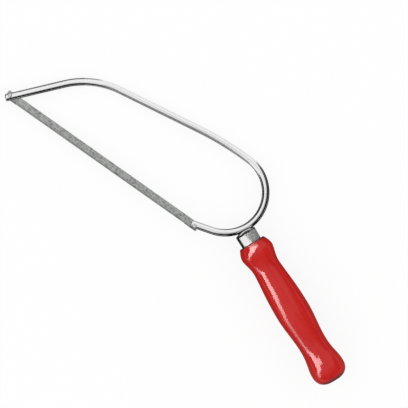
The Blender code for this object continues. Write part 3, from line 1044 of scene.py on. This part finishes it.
@dataclass
class SawBlade:
    """The toothed strip with its wavy set, and the two pins pressed through it."""

    plane: SawPlane
    strip: Finish = HardenedStrip()
    steel: Finish = TurnedSteel()
    pin_spacing: float = 150.0 * MM
    half_height: float = 2.8 * MM
    half_thickness: float = 0.325 * MM
    end: float = 2.5 * MM
    corner: float = 0.6 * MM
    corner_steps: int = 6
    pitch: float = INCH / 32
    tooth_depth: float = 0.45 * MM
    toothless_end: float = 7.0 * MM
    set_band: float = 1.5 * MM
    set_wave: float = 0.2 * MM
    wave_teeth: int = 8
    edge_round: float = 0.06 * MM
    tooth_places: tuple[float, ...] = (0.0, 0.06, 0.12, 0.2, 0.55, 0.78, 0.9)
    tooth_rises: tuple[float, ...] = (1.0, 0.45, 0.0, 0.02, 0.42, 0.74, 0.94)
    crease: float = 24.0
    pin_radius: float = 1.15 * MM
    pin_half: float = 3.2 * MM
    pin_round: float = 0.25 * MM
    pin_fit: float = 0.1 * MM
    hole_round: float = 0.01 * MM
    pin_steps: int = 5
    pin_sides: int = 48
    pin_crease: float = 40.0

    def edge(self) -> tuple[Array, Array]:
        """Cutting edge, a saw wave whose steep faces look to the nose and whose gullets are round.

        Returns:
            Places along the blade and heights above the tooth tips.
        """
        count = int((self.pin_spacing - 2 * self.toothless_end) / self.pitch)
        first = (self.pin_spacing - count * self.pitch) / 2
        places = first + (np.arange(count)[:, None] + np.array(self.tooth_places)) * self.pitch
        rises = np.tile(np.array(self.tooth_rises) * self.tooth_depth, count)
        last = first + count * self.pitch
        return np.append(places, last), np.append(rises, self.tooth_depth)

    def stations(self) -> tuple[Array, Array, Array, Array]:
        """Sections from the nose end to the handle end.

        The set sways each section by a sine of its place with a period of several teeth.

        Returns:
            Places along the blade, rises of the edge, drops of the back and sways of the edge.
        """
        teeth, rises = self.edge()
        inset, advance = round_off(self.corner, self.corner_steps)
        front = advance - self.end
        rear = (self.pin_spacing + self.end - advance)[::-1]
        places = np.concatenate((front, teeth[:1] - self.pitch, teeth, teeth[-1:] + self.pitch, rear))
        none = np.zeros(1)
        rise = np.concatenate((inset, none, rises, none, inset[::-1]))
        drop = np.concatenate((inset, np.zeros(len(teeth) + 2), inset[::-1]))
        wave = np.sin((teeth - teeth[0]) * TURN / (self.wave_teeth * self.pitch))
        sway = self.set_wave * (1 - rises / self.set_band) * wave
        calm = np.zeros(len(inset) + 1)
        return places, rise, drop, np.concatenate((calm, sway, calm))

    def shell(self) -> Shell:
        """Skin the sections, each a strip with eased back edges and its toothed edge swayed.

        Returns:
            The blade's surface.
        """
        places, rise, drop, sway = self.stations()
        half = self.half_thickness
        eased = half - self.edge_round
        edge = rise - self.half_height
        band = self.set_band - self.half_height
        back = self.half_height - drop
        below = back - self.edge_round
        heights = grid(edge, band, below, back, back, below, band, edge)
        depths = grid(sway + half, half, half, eased, -eased, -half, -half, sway - half)
        rings = grid(places[:, None], heights, depths)
        return Shell.from_rings(rings, rings / MM)

    def pin_shell(self, place: float, radius: float, rounded: float) -> Shell:
        """Round bar through the plane at a place along the blade.

        Args:
            place: Distance from the front pin.
            radius: The bar's radius.
            rounded: Rounding of its ends.

        Returns:
            The bar's surface, circles of the radius less the rounding's inset.
        """
        inset, advance = round_off(rounded, self.pin_steps)
        heights = np.concatenate((advance - self.pin_half, (self.pin_half - advance)[::-1]))
        radii = radius - np.concatenate((inset, inset[::-1]))
        cosines, sines = circle(self.pin_sides)
        rings = grid(radii[:, None] * cosines, radii[:, None] * sines, heights[:, None])
        return Shell.from_rings(rings + np.array((place, 0.0, 0.0)), rings / MM)

    def build(self) -> None:
        """Make the holed blade and its pins."""
        blade = self.shell().build("toothed_blade", self.plane, self.strip)
        cutters = []
        for name, place in (("front", 0.0), ("rear", self.pin_spacing)):
            hole = self.pin_shell(place, self.pin_radius + self.pin_fit, self.hole_round)
            cutters.append(hole.build(name, self.plane, self.strip))
            bar = self.pin_shell(place, self.pin_radius, self.pin_round)
            pin = bar.build(f"{name}_cross_pin", self.plane, self.steel)
            hand_over(pin, self.pin_crease, Body.BLADE, f"{name}_blade_pin")
        carve(blade, cutters)
        hand_over(blade, self.crease, Body.BLADE, "saw_blade")


@dataclass
class HandleAssembly:
    """What sits on the handle's axis: the collar that the bow seats in, the ferrule and the turned handle.

    The handle's crests and waists are pairs of a radius and a station from its shoulder.
    """

    rod: BentRod
    steel: Finish = BrazedSteel()
    cap: Finish = DrawnCap()
    lacquer: Finish = RedLacquer()
    angle: float = math.radians(-23.6)
    collar_radius: float = 7.2 * MM
    collar_lap: float = 1.4 * MM
    collar_web: float = 0.5 * MM
    collar_rim: float = 0.4 * MM
    collar_steps: int = 25
    braze: float = 0.28 * MM
    hole: float = 2.7 * MM
    tang_length: float = 66.0 * MM
    ferrule_length: float = 7.15 * MM
    ferrule_front: float = 7.2 * MM
    ferrule_back: float = 7.05 * MM
    ferrule_wall: float = 0.7 * MM
    ferrule_cap: float = 0.8 * MM
    ferrule_edge: float = 0.5 * MM
    lip_round: float = 0.2 * MM
    lip_steps: int = 4
    metal_crease: float = 40.0
    rim: float = 9.4 * MM
    rim_round: float = 0.8 * MM
    rim_turn: float = math.radians(62.6)
    edge_steps: int = 8
    head: Pair = (11.58 * MM, 7.3 * MM)
    head_steps: int = 25
    front_neck: Pair = (9.5 * MM, 19.3 * MM)
    swell: Pair = (11.5 * MM, 53.0 * MM)
    rear_neck: Pair = (9.65 * MM, 78.6 * MM)
    butt: Pair = (11.84 * MM, 97.0 * MM)
    eases: tuple[float, ...] = (0.8, 0.68, 1.0, 1.25)
    wave_steps: int = 41
    butt_dome: float = 9.9 * MM
    butt_fullness: float = 2.5
    butt_flat: float = 4.5 * MM
    butt_steps: int = 49
    wood_crease: float = 35.0
    sides: int = 128

    def __post_init__(self) -> None:
        """Stack the pieces along the axis from the rod's middle line."""
        face = self.rod.radius / math.cos(self.rod.seat_angle - self.angle)
        self.collar_front = face - self.collar_lap
        self.collar_back = face + SEAM + self.collar_web
        self.ferrule_start = self.collar_back + SEAM
        self.ferrule_end = self.ferrule_start + self.ferrule_length
        self.tenon_front = self.ferrule_start + self.ferrule_cap + SEAM
        self.shoulder = self.ferrule_end + SEAM
        self.bore_end = face + self.tang_length + SEAM

    def turn(self, profile: Array, ends: Ends) -> Shell:
        """Turn a profile about the handle's axis.

        A corner lies at the axis point of its station, plus its radius times the cosine to the left of the
        axis and the sine out of the saw's plane.

        Args:
            profile: Rows of radius and station.
            ends: Whether the profile closes on itself, as a ring's does, or is capped.

        Returns:
            The turned surface.
        """
        across, above = (profile[:, :1] * part for part in circle(self.sides))
        station = profile[:, 1:]
        axis = heading(self.angle)
        rings = self.rod.seat() + station[..., None] * axis + across[..., None] * left_of(axis)
        return Shell.from_rings(rings + above[..., None] * OUT, grid(across, above, station) / MM, ends)

    def collar(self) -> None:
        """Make the collar, a domed washer with a channel for the bow.

        The dome's station grows with the square of its radius.
        """
        rod = self.rod
        back = self.collar_back + self.braze
        rise = self.collar_back - self.collar_rim - self.collar_front
        radii = np.linspace(self.hole, self.collar_radius, self.collar_steps)
        dome = grid(radii, self.collar_front + rise * (radii / self.collar_radius) ** 2)
        rim = np.array(((self.collar_radius, back), (self.hole, back)))
        washer = self.turn(np.concatenate((dome, rim)), Ends.JOINED)
        collar = washer.build("bow_collar", rod.plane, self.steel)
        middle = rod.seat_angle - QUARTER
        reach = (self.collar_radius + rod.radius) / rod.bow
        points, turns = rod.arc(rod.bow_centre, rod.bow, middle + reach, middle - reach)
        channel = rod.sweep(points, turns, np.full(len(points), rod.radius + SEAM))
        carve(collar, [channel.build("saddle", rod.plane, self.steel)])
        hand_over(collar, self.metal_crease, Body.FRAME, "saddle_collar")

    def ferrule(self) -> None:
        """Make the ferrule, a cap with a rounded edge, a tapered wall and a rounded lip."""
        front = self.ferrule_start
        back = self.ferrule_end + self.braze
        inset, advance = round_off(self.ferrule_edge, self.edge_steps)
        edge = grid(self.ferrule_front - inset, front + advance)
        inset, advance = round_off(self.lip_round, self.lip_steps)
        lip = grid(self.ferrule_back - inset, back - advance)[::-1]
        wall = np.linspace(edge[-1], lip[0], self.wave_steps)[1:-1]
        bore = self.ferrule_back - self.ferrule_wall
        inner = front + self.ferrule_cap
        inside = np.array(((bore, back), (bore, inner), (self.hole, inner), (self.hole, front)))
        profile = np.concatenate((edge, wall, lip, inside))
        ferrule = self.turn(profile, Ends.JOINED).build("drawn_ferrule", self.rod.plane, self.cap)
        hand_over(ferrule, self.metal_crease, Body.FRAME, "ferrule")

    def wave(self, start: Pair, end: Pair, ease: float) -> Array:
        """Half cosine wave between two radii, its place along the way raised to an ease.

        Args:
            start: Radius and station that it leaves, which isn't repeated.
            end: Radius and station that it reaches.
            ease: Below 1 it turns early, above 1 late.

        Returns:
            Rows of radius and station.
        """
        along = np.linspace(0.0, 1.0, self.wave_steps)[1:]
        blend = (1 - np.cos(math.pi * along ** ease)) / 2
        return np.array(start) + np.subtract(end, start) * grid(blend, along)

    def outline(self) -> Array:
        """Turned outside of the handle from its shoulder to the butt's flat.

        The rim is rounded up to the slope where the head rises from it as a quarter sine. Half cosine waves
        join the crests and waists. The butt is a squarish ellipse, cut off at its flat.

        Returns:
            Rows of radius and station from the shoulder.
        """
        inset, advance = round_off(self.rim_round, self.edge_steps, self.rim_turn)
        rim = grid(self.rim - inset, advance)
        along = np.linspace(0.0, 1.0, self.head_steps)[1:]
        head = rim[-1] + (np.array(self.head) - rim[-1]) * grid(np.sin(along * QUARTER), along)
        stops = (self.head, self.front_neck, self.swell, self.rear_neck, self.butt)
        waves = [self.wave(*pair) for pair in zip(stops, stops[1:], self.eases)]
        radius, station = self.butt
        power = 2 / self.butt_fullness
        last = math.acos((self.butt_flat / radius) ** (1 / power))
        turn = np.linspace(0.0, last, self.butt_steps)[1:]
        dome = grid(radius * np.cos(turn) ** power, station + self.butt_dome * np.sin(turn) ** power)
        return np.concatenate((rim, head, *waves, dome))

    def handle(self) -> Piece:
        """Make the turned handle with its tenon and the bore for the tang.

        Returns:
            The handle.
        """
        tenon = self.ferrule_back - self.ferrule_wall - SEAM
        inside = np.array(((self.hole, self.bore_end), (self.hole, self.tenon_front),
                           (tenon, self.tenon_front), (tenon, self.shoulder)))
        profile = np.concatenate((inside, self.outline() + np.array((0.0, self.shoulder))))
        handle = self.turn(profile, Ends.CAPPED).build("turned_handle", self.rod.plane, self.lacquer)
        hand_over(handle, self.wood_crease, Body.FRAME, "handle")
        return handle

    def build(self) -> Piece:
        """Make all three pieces.

        Returns:
            The handle.
        """
        self.collar()
        self.ferrule()
        return self.handle()


@dataclass(frozen=True)
class PaleFloor(Finish):
    """Matt white floor that the camera and mirrors see nearly evenly lit, with the saw's shadow left in.

    Attributes:
        colour: What the camera and mirrors see of the matt floor.
        bounce: What it throws back on the saw.
        even: Share of an even white in what they see.
    """

    name: str = "pale_floor"
    colour: Colour = (0.97, 0.97, 0.97)
    bounce: Colour = (0.45, 0.45, 0.45)
    even: float = 0.85

    def wire(self, wiring: Wiring) -> None:
        """Mix a matt floor with an even white by what kind of ray looks at it, and keep its bounce low.

        Args:
            wiring: Tree to fill.
        """
        rays = wiring.node("ShaderNodeLightPath", {}, {}).outputs
        camera, mirror, glass = (Signal(wiring, rays[f"Is {kind} Ray"])
                                 for kind in ("Camera", "Glossy", "Transmission"))
        seen = camera + mirror + glass
        colour = wiring.tint(seen, self.bounce, self.colour)
        matt = wiring.node("ShaderNodeBsdfDiffuse", {}, {"Color": colour}).outputs[0]
        white = wiring.glow((1.0, 1.0, 1.0))
        mixed = wiring.node("ShaderNodeMixShader", {}, {0: seen * self.even, 1: matt, 2: white})
        wiring.show(mixed.outputs[0])


@dataclass(frozen=True)
class CardGlow(Finish):
    """Even glow of a studio card that only mirrors see, shaded across its height.

    Attributes:
        low: Brightness at the card's lower edge or middle, where 1 is white.
        high: Brightness at its upper edge or rim.
        start: Share of the height where the brightness leaves low.
        end: Share where it reaches high.
    """

    name: str
    low: float
    high: float
    start: float = 0.0
    end: float = 1.0

    def wire(self, wiring: Wiring) -> None:
        """Glow that eases from low to high with the card's own height."""
        share = wiring.axis(wiring.drawn(), "Y").above(self.start, self.end)
        wiring.show(wiring.glow(wiring.tint(share, (self.low,) * 3, (self.high,) * 3)))


@dataclass(frozen=True)
class LampGlow(Finish):
    """Glow of a soft box, brightest along its middle, that lets what lies behind it show through.

    Attributes:
        power: Brightness of its first end, where 1 is white.
        fades: Azimuths between which the brightness changes, and what it changes to.
        ridge: Product of the shares of the height below and above a point where the glow is full.
    """

    name: str = "lamp_glow"
    power: float = 9.0
    fades: tuple[Triple, ...] = ((92.0, 114.0, 25.0), (155.0, 188.0, 19.0), (205.0, 226.0, 6.0))
    ridge: float = 0.175

    def wire(self, wiring: Wiring) -> None:
        """Lay an emission that fades to both edges, and along its length, over a clear sheet.

        Args:
            wiring: Tree to fill.
        """
        place = wiring.drawn()
        share = wiring.axis(place, "Y")
        power = (self.power,) * 3
        for start, end, level in self.fades:
            power = wiring.tint(wiring.axis(place, "X").above(start, end), power, (level,) * 3)
        full = (share * (1.0 - share)).above(0.0, self.ridge)
        glow = wiring.glow(wiring.tint(full, (0.0,) * 3, power))
        clear = wiring.node("ShaderNodeBsdfTransparent", {}, {}).outputs[0]
        wiring.show(wiring.node("ShaderNodeAddShader", {}, {0: glow, 1: clear}).outputs[0])


@dataclass(frozen=True)
class Card:
    """A curved card round the saw.

    Attributes:
        name: Its name.
        glow: Its finish.
        stops: Azimuth, lower elevation and upper elevation at each stop, in degrees.
    """

    name: str
    glow: Finish
    stops: tuple[Triple, ...]


@dataclass(frozen=True)
class Strip:
    """A strip on the floor beside the rod.

    Attributes:
        name: Its name.
        glow: Its finish.
        span: Headings in degrees where it ends, is whole, is whole still and starts.
        beside: Distances of its edges to the left of the rod's route.
    """

    name: str
    glow: Finish
    span: tuple[float, ...]
    beside: Pair


@dataclass
class Studio:
    """Pale floor, white surroundings, the cards that metal and lacquer mirror, and the camera.

    The cards are set out from the photograph's view: azimuths in degrees run from its right towards its top,
    and elevations up from the saw's plane.
    """

    plane: SawPlane
    roll: float = math.radians(35.2)
    aim: Triple = (146.71 * MM, 15.37 * MM, 0.0)
    frame_width: float = 270.9 * MM
    lens: float = 300.0
    sensor: float = 36.0
    far: float = 100.0
    floor_reach: float = 12.0
    floor_drop: float = 0.05 * MM
    cloth_reach: float = 0.5
    cloth_drop: float = 0.02 * MM
    cloth_glow: Finish = CardGlow("floor_cloth", 0.02, 1.0, 0.1, 0.9)
    disc_sides: int = 96
    disc_rings: int = 25
    disc_start: float = 0.02
    card_radius: float = 2.0
    lamp_radius: float = 1.9
    card_columns: int = 145
    card_rows: int = 17
    strip_rows: int = 9
    strip_fade: float = 0.8
    soft_box: Card = Card("soft_box", LampGlow(), (
        (84, 33, 47), (95, 32, 53), (108, 38, 59), (125, 38, 63), (140, 32, 68), (155, 26, 74), (170, 29, 74),
        (180, 27, 67), (190, 20, 58), (199, 21, 56), (207, 20, 54), (214, 12, 42), (221, 4, 29),
        (232, 2, 22)))
    flags: tuple[Card, ...] = (
        Card("flag", CardGlow("flag_shade", 0.0, 0.56, 0.47), (
            (-112, 0, 54), (-105, 0, 60), (-97, 0, 72), (-77, 0, 84), (-28, 0, 84), (-5, 0, 82), (8, 0, 70),
            (20, 0, 56), (32, 0, 44), (40, 0, 26), (47, 0, 2))),
        Card("low_flag", CardGlow("low_flag_shade", 0.2, 0.58, 0.2), (
            (-130, 0, 8), (-123, 0, 60), (-119, 0, 89.9), (-115, 0, 89.9), (-112, 0, 54))),
        Card("crown_flag", CardGlow("crown_shade", 1.0, 0.58, 0.0, 0.8), (
            (18, 78, 89.9), (30, 64, 89.9), (90, 64, 89.9), (105, 80, 89.9))),
        Card("left_flag", CardGlow("left_flag_shade", 0.0, 0.35, 0.8), (
            (102, 0, 4), (116, 0, 18), (130, 0, 30), (150, 0, 36), (172, 0, 46), (190, 0, 45), (203, 0, 42),
            (207, 0, 32), (209, 0, 8), (214, 0, 6))))
    strips: tuple[Strip, ...] = (
        Strip("back_strip", CardGlow("strip_glow", 0.3, 0.95, 0.2, 0.3), (-20.0, -10.0, 22.0, 36.0),
              (-20.0 * MM, 60.0 * MM)),
        Strip("tail_strip", CardGlow("tail_glow", 0.05, 0.7, 0.0, 0.25), (-181.0, -180.0, -162.0, -138.0),
              (1.0 * MM, -26.0 * MM)))

    def __post_init__(self) -> None:
        """Turn the saw's plane to the view's right and top, about the point it looks at."""
        right = heading(self.roll)
        axes = np.stack((right, left_of(right), OUT)) @ self.plane.axes
        self.view = SawPlane(self.plane.place(np.array(self.aim)), axes)

    def camera(self) -> None:
        """Stand a long lens square to the saw's plane."""
        lens = bpy.data.cameras.new("view")
        lens.lens = self.lens
        lens.sensor_width = self.sensor
        lens.clip_end = self.far
        camera = bpy.data.objects.new("view", lens)
        place = self.view.place(OUT * self.frame_width * self.lens / self.sensor)
        camera.matrix_world = Matrix.Translation(Vector(place)) @ Matrix(self.view.axes.T.tolist()).to_4x4()
        bpy.context.scene.collection.objects.link(camera)
        bpy.context.scene.camera = camera

    def world(self) -> None:
        """White surroundings, the same for every ray."""
        world = bpy.data.worlds.new("surroundings")
        world.use_nodes = True
        tree = world.node_tree
        Wiring(tree).feed(tree.nodes["Background"], {"Color": (1.0, 1.0, 1.0), "Strength": 1.0})
        bpy.context.scene.world = world

    def disc(self, name: str, reach: float, drop: float, finish: Finish) -> Piece:
        """Flat round sheet under the saw.

        A corner lies at its azimuth and at the reach times the square of its ring's share of the way out,
        which is also its height on the sheet for the finish.

        Args:
            name: Its name.
            reach: Radius.
            drop: Depth below the bench.
            finish: Its finish.

        Returns:
            The sheet.
        """
        cosines, sines = circle(self.disc_sides)
        share = np.linspace(self.disc_start, 1.0, self.disc_rings)[:, None] ** 2
        rings = grid(reach * share * cosines, reach * share * sines, -drop)
        drawn = np.zeros_like(rings)
        drawn[..., 1] = share
        shell = Shell.from_rings(rings, drawn, Ends.OPEN)
        shell.faces.append(list(range(self.disc_sides)))
        return shell.build(name, BENCH, finish)

    def card(self, card: Card, radius: float) -> Piece:
        """Curved card round the saw, a band of a sphere whose two edges rise and fall.

        A corner lies at the sphere's radius in the direction of its azimuth, and of an elevation that runs
        from the lower edge to the upper one at that azimuth.

        Args:
            card: What the card is like.
            radius: The sphere's radius.

        Returns:
            The card.
        """
        stops, lows, highs = np.array(card.stops, float).T
        azimuth = np.linspace(stops[0], stops[-1], self.card_columns)[:, None]
        share = np.linspace(0.0, 1.0, self.card_rows)
        low, high = (np.interp(azimuth, stops, edge) for edge in (lows, highs))
        lift = np.radians(low + (high - low) * share)
        rows = np.cos(lift)[..., None] * heading(np.radians(azimuth)) + np.sin(lift)[..., None] * OUT
        shell = Shell.from_rings(rows * radius, grid(azimuth, share, 0.0), Ends.SHEET)
        return shell.build(card.name, self.view, card.glow)

    def strip(self, strip: Strip, rod: BentRod) -> Piece:
        """Strip laid on the floor along a stretch of the rod, so that the rod mirrors no dark cloth there.

        A corner lies beside the rod's route, at a share of the way between the strip's two edges, dropped on
        to the floor. Its height for the finish is that share, less where the strip fades out at its ends.

        Args:
            strip: What the strip is like.
            rod: The rod that it follows.

        Returns:
            The strip.
        """
        points, turns, _ = rod.route()
        along = np.degrees(turns)
        kept = (along > strip.span[0]) & (along < strip.span[-1])
        along = along[kept][:, None]
        share = np.linspace(0.0, 1.0, self.strip_rows)
        near, far = strip.beside
        aside = left_of(heading(turns[kept]))[:, None] * (near + (far - near) * share)[:, None]
        rows = self.plane.place(points[kept][:, None] + aside)
        rows[..., 2] = -self.cloth_drop / 2
        fade = np.interp(along, strip.span, (1.0, 0.0, 0.0, 1.0))
        drawn = grid(along, share - self.strip_fade * fade, 0.0)
        return Shell.from_rings(rows, drawn, Ends.SHEET).build(strip.name, BENCH, strip.glow)

    def build(self, rod: BentRod, handle: Piece) -> None:
        """Set up everything round the saw, the cards in mirrors alone and the soft box for the handle alone.

        Args:
            rod: The rod that the pale strips follow.
            handle: The piece that the soft box lights.
        """
        bpy.context.scene.view_settings.view_transform = "Standard"
        self.camera()
        self.world()
        floor = self.disc("floor", self.floor_reach, self.floor_drop, PaleFloor())
        box = self.card(self.soft_box, self.lamp_radius)
        lit = bpy.data.collections.new("lacquered")
        lit.objects.link(handle)
        box.light_linking.receiver_collection = lit
        cards = [box, *(self.card(flag, self.card_radius) for flag in self.flags)]
        cards.append(self.disc("cloth", self.cloth_reach, self.cloth_drop, self.cloth_glow))
        cards += [self.strip(strip, rod) for strip in self.strips]
        for card in cards:
            for ray in ("camera", "diffuse", "transmission", "shadow"):
                setattr(card, f"visible_{ray}", False)
        LOG.info("studio set up with %d cards", len(cards))


def main() -> None:
    """Load the frame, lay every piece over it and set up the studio."""
    logging.basicConfig(level=logging.INFO, format="%(name)s: %(message)s")
    for leftover in list(bpy.data.objects):
        bpy.data.objects.remove(leftover, do_unlink=True)
    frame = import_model()
    plane = SawPlane.from_frame(frame)
    rod = BentRod(plane)
    rod.build()
    SawBlade(plane).build()
    handle = HandleAssembly(rod).build()
    TangSteel().dress(frame["nodes"]["tang"])
    Studio(plane).build(rod, handle)


if __name__ == "__main__":
    main()
